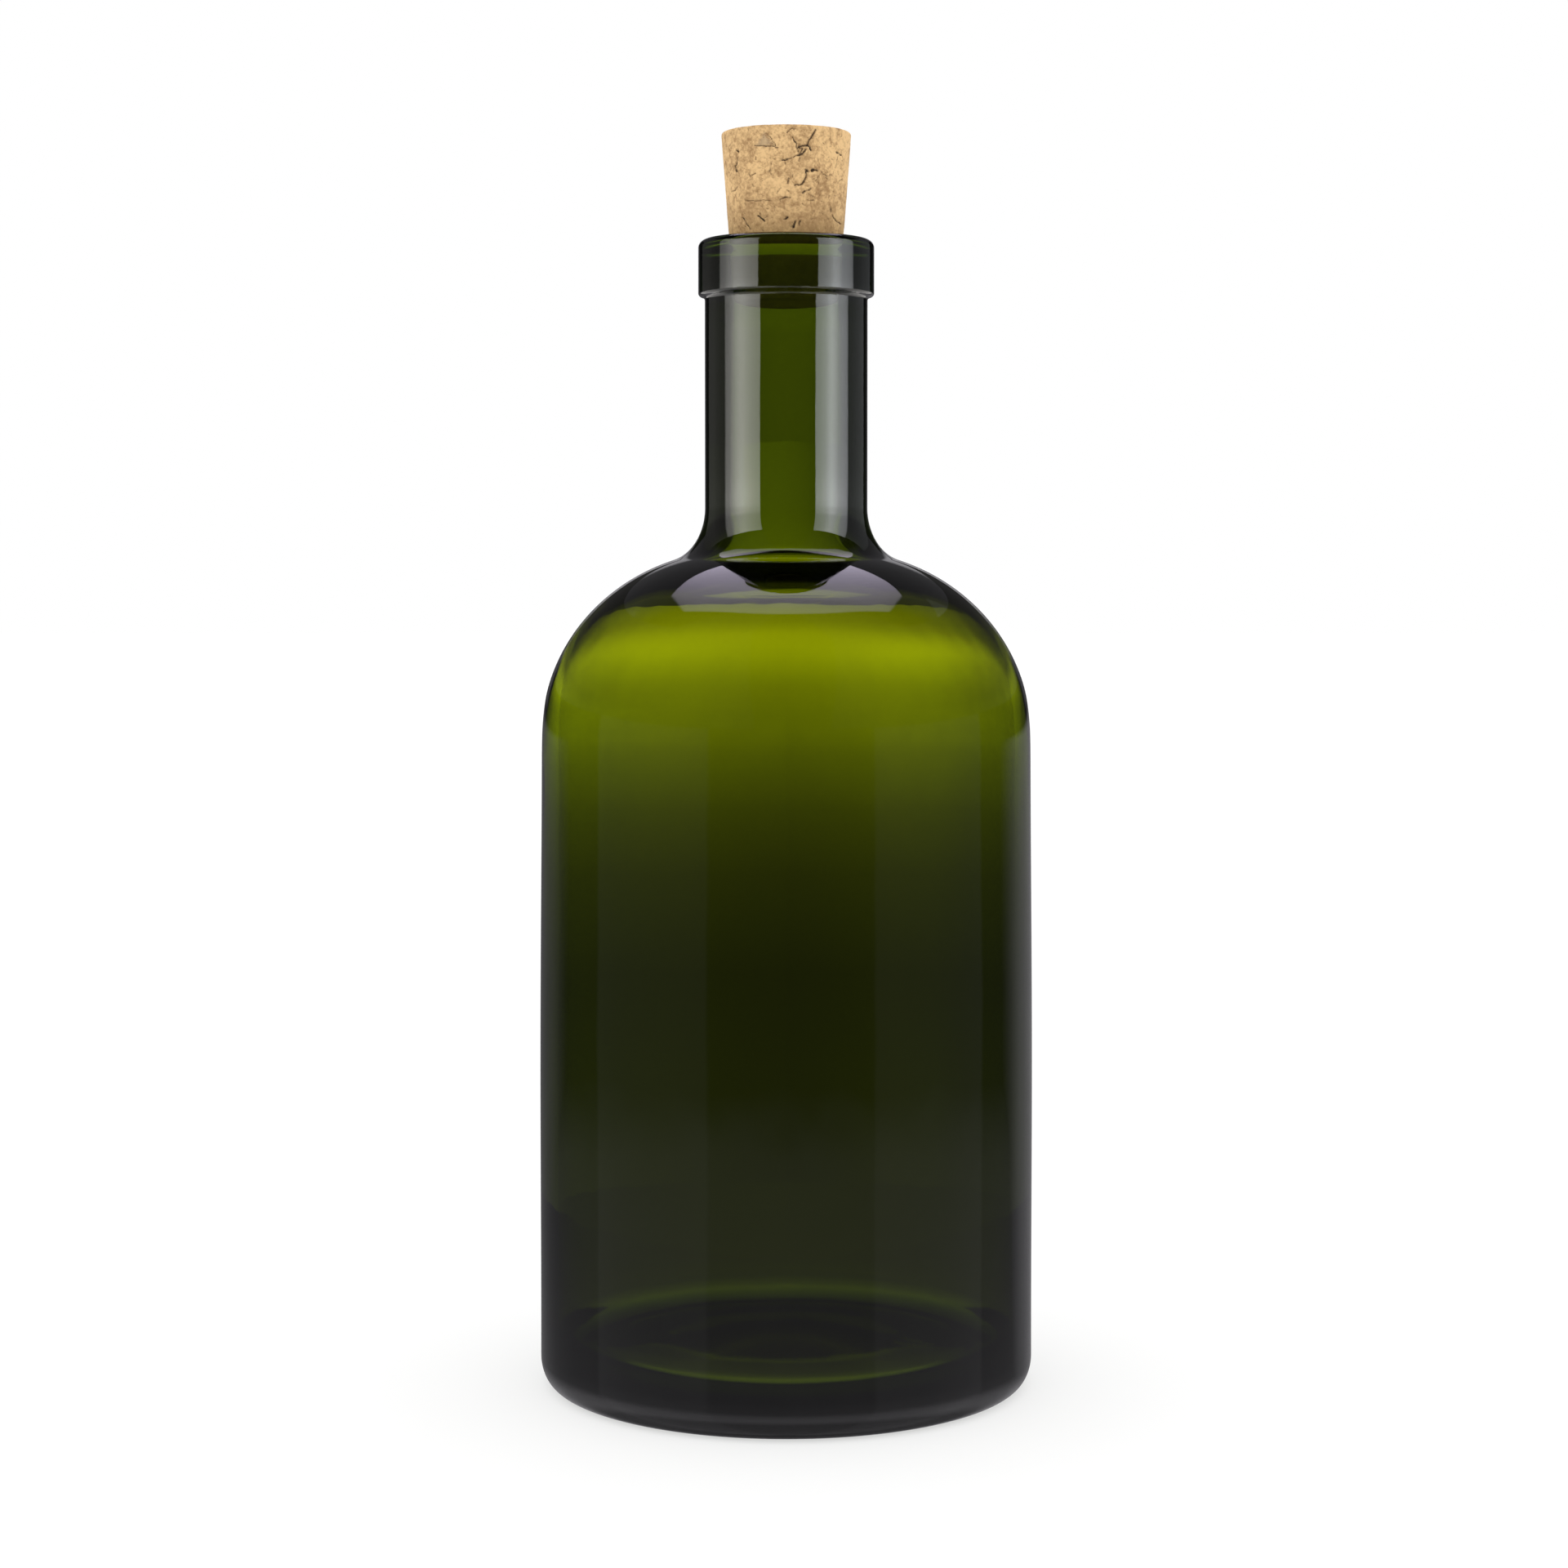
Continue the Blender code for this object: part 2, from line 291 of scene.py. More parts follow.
def mesh_object(name, points, quads, fans, material, attributes=None):
    """Object from turned points and faces, the faces turned outwards by the sign of the enclosed
    volume. Each attribute is a number at every point."""
    a, b, c, d = (points[quads[:, i]] for i in range(4))
    volume = np.einsum("ij,ij->", np.cross(a, b), c) + np.einsum("ij,ij->", np.cross(a, c), d)
    if volume < 0.0:
        quads, fans = quads[:, ::-1], fans[:, ::-1]
    mesh = bpy.data.meshes.new(name)
    mesh.from_pydata(points.tolist(), [], quads.tolist() + fans.tolist())
    mesh.shade_smooth()
    for key, values in (attributes or {}).items():
        layer = mesh.attributes.new(key, "FLOAT", "POINT")
        layer.data.foreach_set("value", np.asarray(values, np.float32))
    mesh.materials.append(material)
    obj = bpy.data.objects.new(name, mesh)
    bpy.context.scene.collection.objects.link(obj)
    return obj


# ---- node helpers ---------------------------------------------------------------------------
class Nodes:
    """Short calls for a node tree."""

    def __init__(self, tree):
        self.tree = tree

    def add(self, kind, inputs=None, **settings):
        """A node with its settings and its inputs, each a value or a socket to link."""
        node = self.tree.nodes.new(kind)
        for key, value in settings.items():
            setattr(node, key, value)
        for key, value in (inputs or {}).items():
            self.put(node.inputs[key], value)
        return node

    def put(self, socket, value):
        """Link a socket or set a value."""
        if isinstance(value, bpy.types.NodeSocket):
            self.tree.links.new(value, socket)
        else:
            socket.default_value = value

    def math(self, operation, *values):
        """Result of one math operation."""
        return self.add("ShaderNodeMath", dict(enumerate(values)), operation=operation).outputs[0]

    def noise(self, vector, scale, detail, roughness):
        """Level of a noise texture."""
        return self.add("ShaderNodeTexNoise", {
            "Vector": vector, "Scale": scale, "Detail": detail, "Roughness": roughness}).outputs[0]

    def parts(self, vector):
        """The three components of a vector."""
        return self.add("ShaderNodeSeparateXYZ", {0: vector}).outputs[:3]

    def step(self, value, low, high, start=0.0, end=1.0):
        """Smooth step from start to end between low and high."""
        node = self.add("ShaderNodeMapRange", {0: value, 1: low, 2: high, 3: start, 4: end},
                        interpolation_type="SMOOTHSTEP")
        return node.outputs[0]

    def window(self, value, low, high, soft):
        """One between low and high, nought outside, with soft edges."""
        rise = self.step(value, low - soft, low + soft)
        return self.math("MULTIPLY", rise, self.step(value, high - soft, high + soft, 1.0, 0.0))

    def mix(self, factor, first, second, blend="MIX"):
        """Mix of two colours."""
        node = self.add("ShaderNodeMix", data_type="RGBA", blend_type=blend)
        self.put(node.inputs[0], factor)
        for socket, value in ((node.inputs[6], first), (node.inputs[7], second)):
            self.put(socket, value if isinstance(value, bpy.types.NodeSocket) else (*value, 1.0))
        return node.outputs[2]

    def ramp(self, value, low, high, stops):
        """Grey level by linear steps through (position, level) pairs, position from low to high."""
        node = self.add("ShaderNodeValToRGB", {0: self.add(
            "ShaderNodeMapRange", {0: value, 1: low, 2: high}).outputs[0]})
        elements = node.color_ramp.elements
        while len(elements) < len(stops):
            elements.new(0.5)
        for element, (place, level) in zip(elements, stops):
            element.position = (place - low) / (high - low)
            element.color = (level, level, level, 1.0)
        return node.outputs[0]


def new_material(name):
    """Material with a Principled shader, and the helper for its tree."""
    material = bpy.data.materials.new(name)
    material.use_nodes = True
    nodes = Nodes(material.node_tree)
    return material, nodes, material.node_tree.nodes["Principled BSDF"]


# ---- materials ------------------------------------------------------------------------------
def olive_glass(s):
    """Clear glass, coloured by what its body absorbs, with a faint ripple on its surface."""
    material, n, bsdf = new_material("olive_glass")
    bsdf.inputs["Base Color"].default_value = (1.0, 1.0, 1.0, 1.0)
    bsdf.inputs["Roughness"].default_value = 0.0
    bsdf.inputs["IOR"].default_value = 1.52
    bsdf.inputs["Transmission Weight"].default_value = 1.0
    volume = n.add("ShaderNodeVolumeAbsorption", {"Color": (*s.tint, 1.0), "Density": s.depth})
    n.tree.links.new(volume.outputs[0], n.tree.nodes["Material Output"].inputs["Volume"])
    where = n.add("ShaderNodeTexCoord").outputs["Object"]
    slow = n.add("ShaderNodeMapping", {"Vector": where, "Scale": (1.0, 1.0, 0.45)}).outputs[0]
    ripple = n.noise(slow, 150.0, 1.0, 0.4)
    bump = n.add("ShaderNodeBump", {"Height": ripple, "Strength": 1.0, "Distance": s.ripple})
    n.put(bsdf.inputs["Normal"], bump.outputs[0])
    return material


def pressed_cork(s):
    """Pressed cork granules, each of its own tone, with fine grain, darker joints, and dark cracks and
    pits. Painted shade makes it darker down towards the lip, and painted light makes it lighter towards its
    left and right sides. Under the lip's level it is darker in the mouth, painted shade; a pale ring
    further down is painted light, the cork lit from above through the mouth; and the part below the ring is
    greyer and darker, painted shade."""
    material, n, bsdf = new_material("pressed_cork")
    where = n.add("ShaderNodeTexCoord").outputs["Object"]
    x, _, z = n.parts(where)

    def layer(name):
        return n.add("ShaderNodeAttribute", attribute_name=name).outputs["Fac"]

    fine = n.noise(where, 2300.0, 5.0, 0.65)
    mid = n.noise(where, 900.0, 3.0, 0.6)
    broad = n.noise(where, 210.0, 2.0, 0.5)
    tone = 0.58
    for level, weight in ((layer("granule"), 0.36), (broad, 0.6), (mid, 1.5), (fine, 1.7)):
        tone = n.math("MULTIPLY_ADD", n.math("SUBTRACT", level, 0.5), weight, tone)
    # Painted shade: the cork is darker down towards the lip. Painted light: it is lighter towards its left
    # and right sides.
    low_shade = n.step(z, 0.1830, 0.1915, 0.50, 1.0)
    side_light = n.step(n.math("ABSOLUTE", x), 0.0060, 0.0088, 0.0, 0.12)
    tone = n.math("MULTIPLY_ADD", tone, low_shade, side_light)
    colour = n.mix(n.step(tone, 0.02, 0.98), s.dark, s.pale)
    soft = 0.0001
    # Painted shade: the cork below the pale ring is darker and duller, as in the neck's shadow.
    painted_shade_below_ring = n.step(z, LIT_RING_FOOT + soft, LIT_RING_FOOT - soft)
    # Painted shade: the cork in the mouth, between the ring's top and the lip's level, is darker.
    mouth_painted_shade = n.math("MULTIPLY", n.step(z, LIT_RING_TOP - soft, LIT_RING_TOP + soft),
                      n.step(z, LIP_LEVEL, LIP_LEVEL - soft))
    # The pale window between the ring's edges is painted light: the cork lit from above through the mouth.
    for level, weight, shade in (
            (layer("seam"), 0.65, (0.30, 0.165, 0.070)), (layer("grey"), 0.55, (0.36, 0.27, 0.17)),
            (n.step(mid, 0.40, 0.32), 0.45, (0.28, 0.15, 0.06)),
            (layer("crack"), 1.0, (0.036, 0.020, 0.010)), (painted_shade_below_ring, 0.75, (0.34, 0.24, 0.13)),
            (n.window(z, LIT_RING_FOOT, LIT_RING_TOP, soft), 1.0, (0.95, 0.92, 0.85)),
            (mouth_painted_shade, 0.9, (0.10, 0.07, 0.04))):
        colour = n.mix(n.math("MULTIPLY", level, weight), colour, shade)
    n.put(bsdf.inputs["Base Color"], colour)
    n.put(bsdf.inputs["Roughness"], n.step(fine, 0.2, 0.8, 0.95, 0.78))
    bsdf.inputs["Specular IOR Level"].default_value = 0.3
    bump = n.add("ShaderNodeBump", {"Height": mid, "Strength": 0.4, "Distance": 0.00012})
    n.put(bsdf.inputs["Normal"], bump.outputs[0])
    return material


# ---- cork relief ----------------------------------------------------------------------------
def cell_noise(points, scale, seed):
    """Smooth value noise: random levels on a cubic lattice, joined by smooth steps on each axis."""
    table = np.random.default_rng(seed).random(4096)
    p = points * scale
    base = np.floor(p).astype(np.int64)
    f = p - base
    f = f * f * (3.0 - 2.0 * f)
    total = np.zeros(len(points))
    for corner in range(8):
        step = np.array([corner & 1, corner >> 1 & 1, corner >> 2 & 1])
        cell = base + step
        key = (cell[:, 0] * 73856093 ^ cell[:, 1] * 19349663 ^ cell[:, 2] * 83492791) & 4095
        total += table[key] * np.prod(np.where(step, f, 1.0 - f), axis=1)
    return total


def granules(points, size, seed):
    """Granules round the centres of a lattice, each centre moved at random within its cell. Returns
    each point's distances to the nearest and the second nearest centre, and a random tone that all
    points nearest to the same centre share."""
    rng = np.random.default_rng(seed)
    lo, hi = points.min(0) - size, points.max(0) + size
    axes = [np.arange(a, b, size) for a, b in zip(lo, hi)]
    centres = np.stack(np.meshgrid(*axes, indexing="ij"), -1).reshape(-1, 3)
    centres += rng.uniform(-0.5, 0.5, centres.shape) * size
    far = 9.0
    near, second = np.full(len(points), far), np.full(len(points), far)
    index = np.zeros(len(points), int)
    for i, centre in enumerate(centres):
        d = np.sqrt(((points - centre) ** 2).sum(1))
        closer = d < near
        second = np.where(closer, near, np.minimum(second, d))
        index[closer] = i
        near = np.where(closer, d, near)
    return near, second, rng.random(len(centres))[index]


# Cracks of the front, in millimetres: width, depth from 0 to 1, then (across, above the lip) points.
CRACKS = (
    (0.2, 1, (4.6, 16.2), (3.9, 15), (3.3, 13.9)),
    (0.22, 1, (2, 13.5), (2.7, 13.7), (3.3, 13.8), (3.6, 13.5), (3.8, 13)),
    (0.14, 0.9, (1.1, 15), (1.5, 14), (2, 12.5)), (0.12, 0.8, (-0.7, 11.3), (0.4, 11.7), (1.9, 12.2)),
    (0.24, 1, (1.9, 12.2), (2.6, 12.5), (3.1, 13.1)),
    (0.12, 0.7, (1.9, 13.4), (2.6, 13.2), (2.2, 12.6)), (0.12, 0.6, (2.2, 12.1), (1.9, 11.3)),
    (0.17, 0.9, (3.2, 9.9), (3.1, 8.8), (2.6, 7.8), (1.3, 7.5)), (0.3, 1, (3.1, 10), (3.3, 9.8)),
    (0.26, 1, (4, 9.9), (4.3, 10.1), (4.8, 10)), (0.24, 0.9, (2.6, 6.5), (2.9, 6.7)),
    (0.26, 1, (3.6, 6.9), (3.8, 7.1)), (0.09, 0.5, (2.8, 6.6), (3.7, 6.9)),
    (0.15, 0.7, (-1, 5.4), (-0.4, 5.7), (0.6, 5.6)), (0.14, 0.5, (3.3, 5.4), (3.8, 5.2), (4.3, 5.4)),
    (0.1, 0.5, (-6.5, 5.4), (-4.8, 5.3), (-2.3, 5.2)),
    (0.13, 0.8, (-6.8, 2.9), (-6.3, 1.8), (-5.7, 1)), (0.16, 0.9, (-4.5, 3), (-3.4, 2.1)),
    (0.24, 1, (1.2, 1.1), (1.4, 1.9)), (0.16, 0.8, (2, 1.5), (2.2, 2.1)),
    (0.18, 0.8, (-0.3, 2.3), (0.3, 2.6)), (0.16, 0.8, (7.4, 3.1), (8, 2.4), (8.6, 2.2)),
    (0.15, 0.9, (7.9, 13.2), (8.7, 12.8)), (0.09, 0.5, (8.1, 12.4), (8, 11.5), (7.7, 10.6)),
    (0.2, 0.9, (-7.9, 13.5), (-7.5, 13.1)),
    (0.15, 0.8, (-7.7, 12.2), (-7.8, 11.2), (-8.1, 11), (-7.8, 10.1)),
    (0.11, 0.6, (-8.7, 7.2), (-8.1, 7.3), (-7.7, 7.8)),
    (0.1, 0.6, (-5.9, 9.6), (-5.7, 9.2), (-4.8, 9.5)),
    (0.08, 0.4, (-2.3, 11.1), (-2.5, 9.9), (-2.2, 9.1)), (0.12, 0.7, (0.4, 8.7), (0.2, 7.8)),
    (0.12, 0.7, (0.1, 15.7), (0.9, 16.3), (1.4, 16.2)), (0.09, 0.6, (7, 15.1), (7.1, 14.5)),
    (0.1, 0.6, (5.5, 9.9), (5.8, 9.5), (6.5, 9.3), (7.2, 9.5)),
    (0.08, 0.5, (5.2, 9.3), (4.8, 8.5), (4.3, 8.1)), (0.14, 0.8, (7.1, 4.6), (7, 3.9)),
    (0.12, 0.8, (-5, 13.8), (-3.5, 13.7), (-1.3, 13.4)),
    (0.1, 0.6, (-3.2, 15.6), (-2.3, 14.7), (-1.6, 13.7)),
    (0.09, 0.5, (-1.6, 6.2), (-1, 7), (-0.7, 7.2)), (0.09, 0.5, (8.8, 9.1), (8.3, 8.5)))


def along_lines(u, w, lines):
    """Level of thin lines at points (u, w): each line has its depth within a quarter of its width,
    and falls from there by a smooth step to 0 at nineteen twentieths of its width."""
    level = np.zeros(len(u))
    for width, depth, *path in lines:
        for (u0, w0), (u1, w1) in zip(path, path[1:]):
            du, dw = u1 - u0, w1 - w0
            t = np.clip(((u - u0) * du + (w - w0) * dw) / (du * du + dw * dw), 0.0, 1.0)
            d = np.hypot(u - u0 - t * du, w - w0 - t * dw)
            x = np.clip((0.95 * width - d) / (0.70 * width), 0.0, 1.0)
            level = np.maximum(level, depth * x * x * (3.0 - 2.0 * x))
    return level


def dashes(count, seed):
    """Short dashes scattered evenly over the unrolled cork, as lines for along_lines."""
    rng = np.random.default_rng(seed)
    u, w = rng.uniform(-33.0, 33.0, count), rng.uniform(-10.0, 17.0, count)
    lean, reach = rng.uniform(0.0, math.pi, count), rng.uniform(0.05, 0.32, count) ** 1.2
    width, depth = rng.uniform(0.06, 0.13, count), rng.uniform(0.25, 0.85, count)
    du, dw = reach * np.cos(lean), reach * np.sin(lean)
    ends = np.column_stack([u - du, w - dw, u + du, w + dw])
    return [(a, b, (u0, w0), (u1, w1)) for a, b, (u0, w0, u1, w1) in zip(width, depth, ends)]


def cork_blank(s):
    """Smooth cork, turned: flat top, rounded edge, tapered side with a ring of points where it enters
    the mouth, rounded edge and flat foot."""
    top, foot, edge = CORK_BOX[1].z, CORK_BOX[0].z, s.edge
    top_radius, foot_radius, mouth = cork_radius(top), cork_radius(foot), 0.1818
    rim = np.linspace(0.0, 1.0, 35)[:, None]
    cap = np.hstack([(top_radius - edge) * rim, np.full_like(rim, top)])[:-1]
    under = np.linspace(1.0, 0.0, 9)[:, None]
    base = np.hstack([(foot_radius - edge) * under, np.full_like(under, foot)])[1:]
    head = arc((top_radius - edge, top - edge), (edge, edge), 90, 0, 5)
    tail = arc((foot_radius - edge, foot + edge), (edge, edge), 0, -90, 3)
    lip = np.array([cork_radius(mouth), mouth])
    return turned(np.vstack([cap, head, run(head[-1], lip, 144), lip, run(lip, tail[0], 16), tail, base]),
                  s.turns)


def cork_marks(s, points):
    """Levels from 0 to 1 at each point of the cork: its granule's tone; the seam, where the two
    nearest centres are equally far, open in parts; the cracks, pits and dashes; and a grey patch, the
    least of three slopes from straight edges. The back has the front's cracks turned half round."""
    warp = sum(np.stack([cell_noise(points, scale, seed + k) - 0.5 for k in range(3)], 1) * reach
               for scale, reach, seed in ((900.0, 0.0014, 1), (2600.0, 0.0004, 4)))
    near, second, tone = granules(points + warp, s.granule, 11)
    seam_width, roll_radius, cap_edge = 0.00016, 10.0, 0.3
    part = np.clip((cell_noise(points, 500.0, 21) - 0.42) / 0.16, 0.0, 1.0)
    seam = part * np.clip(1.0 - (second - near) / seam_width, 0.0, 1.0)
    x, y, z = points.T * 1000.0
    jag = [0.22 * (cell_noise(points, 1900.0, k) - 0.5) + 0.10 * (cell_noise(points, 5200.0, k) - 0.5)
           for k in (31, 32)]
    u, w = np.where(y < 0.0, x, -x) + jag[0], z - LIP_LEVEL * 1000.0 + jag[1]
    ragged = 0.55 + 0.9 * cell_noise(points, 3000.0, 33)
    crack = np.clip(along_lines(u, w, CRACKS) * (ragged * 1.5 - 0.25), 0.0, 1.0)
    unrolled = np.arctan2(x, -y) * roll_radius + jag[0]
    side = z < CORK_BOX[1].z * 1000.0 - cap_edge
    pits = along_lines(np.where(side, unrolled, x), np.where(side, w, y), dashes(760, 41))
    crack = np.maximum(crack * side, pits * ragged * 0.8)
    foot, slant, top = (w - 13.6) / 0.3, (u + 4.9) * 1.6 - (w - 13.6) + 0.2, (16.0 - w) - (u + 3.4) * 1.25
    grey = np.clip(np.minimum(np.minimum(foot, slant), top), 0.0, 1.0) * side
    return {"crack": crack, "granule": tone, "seam": seam, "grey": grey}


def sunk(s, points, marks):
    """Points drawn towards the nearest point of the cork's core, a piece of its axis, by the cracks'
    depth, by a fine grain, and by a little for each granule's tone."""
    above_foot, below_top, grain_depth, tone_depth = 0.009, 0.0095, 0.00004, 0.00005
    core = np.zeros_like(points)
    core[:, 2] = np.clip(points[:, 2], CORK_BOX[0].z + above_foot, CORK_BOX[1].z - below_top)
    inward = core - points
    inward /= np.maximum(np.linalg.norm(inward, axis=1)[:, None], 1e-9)
    grain = cell_noise(points, 5200.0, 31) * grain_depth + tone_depth * marks["granule"]
    return points + inward * (marks["crack"] * s.crack + grain)[:, None]


# ---- stage ----------------------------------------------------------------------------------
def glowing_sheet(name, t, first, last, tint, closed=False):
    """Sheet of the stage that is black but for its glow. Its points are (r sin t, -r cos t, z): the
    angle t starts on the camera's side, and (r, z) runs straight from the first pair to the last.
    Returns the object, the helper for its material's tree, and the shader."""
    rings = [np.column_stack([r * np.sin(t), -r * np.cos(t), np.full_like(t, z)]) for r, z in (first, last)]
    count = len(t)
    i = np.arange(count if closed else count - 1)
    k = (i + 1) % count
    mesh = bpy.data.meshes.new(name)
    mesh.from_pydata(np.vstack(rings).tolist(), [], np.column_stack([i, k, k + count, i + count]).tolist())
    material, n, bsdf = new_material(name)
    bsdf.inputs["Base Color"].default_value = (0.0, 0.0, 0.0, 1.0)
    bsdf.inputs["Specular IOR Level"].default_value = 0.0
    bsdf.inputs["Emission Color"].default_value = (*tint, 1.0)
    material.cycles.emission_sampling = "NONE"
    mesh.materials.append(material)
    obj = bpy.data.objects.new(name, mesh)
    bpy.context.scene.collection.objects.link(obj)
    obj.visible_camera = obj.visible_diffuse = obj.visible_shadow = False
    return obj, n, bsdf


# ---- operators ------------------------------------------------------------------------------
class BOTTLE_OT_glass(bpy.types.Operator):
    """Blow the bottle: one closed shell of glass with its bore, inside and hollow base"""
    bl_idname = "bottle.blow_glass"
    bl_label = "Glass Bottle"

    def execute(self, context):
        s = context.scene.bottle_glass
        points, quads, fans = turned(np.vstack([glass_inside(s), glass_outside(s)]), s.turns)
        bottle = mesh_object("bottle_glass", points, quads, fans, olive_glass(s))
        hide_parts("bottle")
        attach(bottle, BODY)
        return {"FINISHED"}


class BOTTLE_OT_cork(bpy.types.Operator):
    """Press the cork: a tapered stopper of granules with dark joints, cracks and pits"""
    bl_idname = "bottle.press_cork"
    bl_label = "Cork"

    def execute(self, context):
        s = context.scene.bottle_cork
        points, quads, fans = cork_blank(s)
        marks = cork_marks(s, points)
        cork = mesh_object("cork_stopper", sunk(s, points, marks), quads, fans, pressed_cork(s), marks)
        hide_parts("cork")
        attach(cork, BODY)
        return {"FINISHED"}


class BOTTLE_OT_stage(bpy.types.Operator):
    """Set the stage: pale floor, soft studio light and the camera"""
    bl_idname = "bottle.set_stage"
    bl_label = "Stage"

    def execute(self, context):
        s = context.scene.bottle_stage
        scene = context.scene
        self.floor(scene)
        self.bank("left", (1.0, 0.985, 0.94), [
            (-158, 0.10), (-148, 0.12), (-134, 0.165), (-120, 0.235), (-96, 0.235), (-93, 1.8),
            (-86, 2.3), (-77, 3.9), (-69, 5.3), (-62, 5.5), (-55, 4.7), (-49, 4.1), (-36, 3.0)])
        self.bank("right", (0.94, 0.97, 1.0), [
            (41, 3.1), (50, 3.9), (57, 4.9), (63, 6.5), (67, 6.5), (72, 5.6), (78, 4.1), (85, 3.5),
            (94, 2.5), (97, 0.31), (120, 0.30), (134, 0.25), (148, 0.165), (158, 0.12)])
        self.screen()
        self.light(scene)
        camera = bpy.data.objects.new("camera", bpy.data.cameras.new("camera"))
        scene.collection.objects.link(camera)
        camera.location = (s.aside, -s.distance, s.eye)
        camera.rotation_euler = (0.5 * math.pi - s.tilt, 0.0, 0.0)
        camera.data.sensor_width = 36.0
        camera.data.lens = s.lens
        camera.data.shift_y = s.shift
        camera.data.clip_start = 0.01
        scene.camera = camera
        scene.view_settings.view_transform = "Standard"
        scene.view_settings.look = "None"
        return {"FINISHED"}

    def floor(self, scene):
        """Pale matt floor, a large flat square that shows neither through nor in the glass."""
        mesh = bpy.data.meshes.new("floor")
        w = 6.0
        mesh.from_pydata([(-w, -w, 0), (w, -w, 0), (w, w, 0), (-w, w, 0)], [], [(0, 1, 2, 3)])
        material, _, bsdf = new_material("pale_floor")
        bsdf.inputs["Base Color"].default_value = (0.38, 0.38, 0.38, 1.0)
        bsdf.inputs["Roughness"].default_value = 1.0
        bsdf.inputs["Specular IOR Level"].default_value = 0.0
        bsdf.inputs["Emission Color"].default_value = (1.0, 1.0, 1.0, 1.0)
        bsdf.inputs["Emission Strength"].default_value = 0.60
        mesh.materials.append(material)
        obj = bpy.data.objects.new("floor", mesh)
        obj.location.z = -0.0002
        scene.collection.objects.link(obj)
        obj.visible_transmission = False
        obj.visible_glossy = False

    def bank(self, name, tint, stops):
        """Tall curved light bank beside the neck, part of a cylinder of radius 0.3 m about the bottle,
        lit by (azimuth, level) stops, in degrees from the camera's side, and by height. The flag is
        part of a flat ring under it that keeps it off the shoulder, and the flag's lit top side shows
        in the lip's underside. Only polished things show them."""
        low, high = stops[0][0], stops[-1][0]
        radius, foot, top, limit = 0.300, 0.1404, 0.3673, 140.0
        ramp_scale, gain = 0.1, 1.2
        t = np.radians(np.linspace(max(low, -limit), min(high, limit), 61))
        bank, n, bsdf = glowing_sheet(f"bank_{name}", t, (radius, foot), (radius, top), tint)
        x, y, z = n.parts(n.add("ShaderNodeTexCoord").outputs["Object"])
        turn = n.math("ARCTAN2", x, n.math("MULTIPLY", y, -1.0))
        level = n.ramp(n.math("MULTIPLY", turn, DEGREES), low, high,
                       [(place, ramp_scale * value) for place, value in stops])
        height = n.ramp(z, 0.139, 0.24, [(0.139, 1.25), (0.146, 1.12), (0.155, 0.92), (0.165, 0.85),
                                         (0.19, 0.83), (0.207, 0.64), (0.24, 0.62)])
        n.put(bsdf.inputs["Emission Strength"],
              n.math("MULTIPLY", n.math("MULTIPLY", level, height), gain / ramp_scale))

        inner, outer, past, limit = 0.040, 0.301, 22.0, 151.0
        under_glow, top_glow = 0.05, 1.30
        t = np.radians(np.linspace(max(low - past, -limit), min(high + past, limit), 61))
        flag, n, bsdf = glowing_sheet(f"flag_{name}", t, (inner, foot), (outer, foot), (1.0, 0.98, 0.95))
        upper_side = n.add("ShaderNodeNewGeometry").outputs["Backfacing"]
        n.put(bsdf.inputs["Emission Strength"],
              n.math("MULTIPLY_ADD", upper_side, top_glow - under_glow, under_glow))
        bank.visible_transmission = flag.visible_transmission = False

    def screen(self):
        """Glowing screen round the bottle, a cylinder of radius 0.16 m that shows only through the
        glass: dark at the table, brightest at the height of the shoulder, dimmer above. Its level also
        goes by the azimuth from the far side, in one way below the shoulder and in another above. It
        is dimmer for rays that were mirrored inside the glass, and white for those that left the cork
        or the floor."""
        radius, foot, top = 0.16, 0.0002, 0.158
        t = np.linspace(0.0, TAU, 96, endpoint=False)
        screen, n, bsdf = glowing_sheet("screen", t, (radius, foot), (radius, top), (1.0, 1.0, 1.0),
                                        closed=True)
        screen.visible_glossy = False
        x, y, z = n.parts(n.add("ShaderNodeTexCoord").outputs["Object"])
        glow = n.ramp(z, 0.0, top, [
            (0.0, 0.042), (0.025, 0.043), (0.044, 0.038), (0.064, 0.066), (0.074, 0.106),
            (0.078, 0.128), (0.082, 0.172), (0.086, 0.212), (0.088, 0.235), (0.0895, 0.262),
            (0.0905, 0.29), (0.0915, 0.34), (0.093, 0.395), (0.095, 0.455), (0.100, 0.61), (0.103, 0.68),
            (0.107, 0.71), (0.112, 0.69), (0.116, 0.65), (0.121, 0.54), (0.128, 0.445), (0.144, 0.43),
            (0.158, 0.40)])
        turn = n.math("MULTIPLY", n.math("ARCTAN2", x, y), DEGREES)
        below = n.ramp(turn, -45.0, 45.0, [
            (-45, 1.0), (-30, 1.0), (-24, 0.88), (-18, 0.72), (-12, 0.65), (-9, 0.60), (-6, 0.54),
            (-3, 0.50), (0, 0.485), (3, 0.51), (6, 0.56), (10, 0.65), (14, 0.67), (19, 0.61),
            (24, 0.63), (30, 0.70), (45, 0.70)])
        above = n.ramp(turn, -45.0, 45.0, [
            (-45, 0.3), (-21, 0.45), (-19, 0.54), (-9, 0.54), (0, 0.50), (10, 0.41), (16, 0.36),
            (21, 0.28), (45, 0.2)])
        upper = n.step(z, 0.101, 0.120)
        part = n.math("ADD", n.math("MULTIPLY", below, n.math("SUBTRACT", 1.0, upper)),
                      n.math("MULTIPLY", above, upper))
        glow = n.math("MULTIPLY", glow, n.math("MULTIPLY", part, 2.0))
        path = n.add("ShaderNodeLightPath").outputs
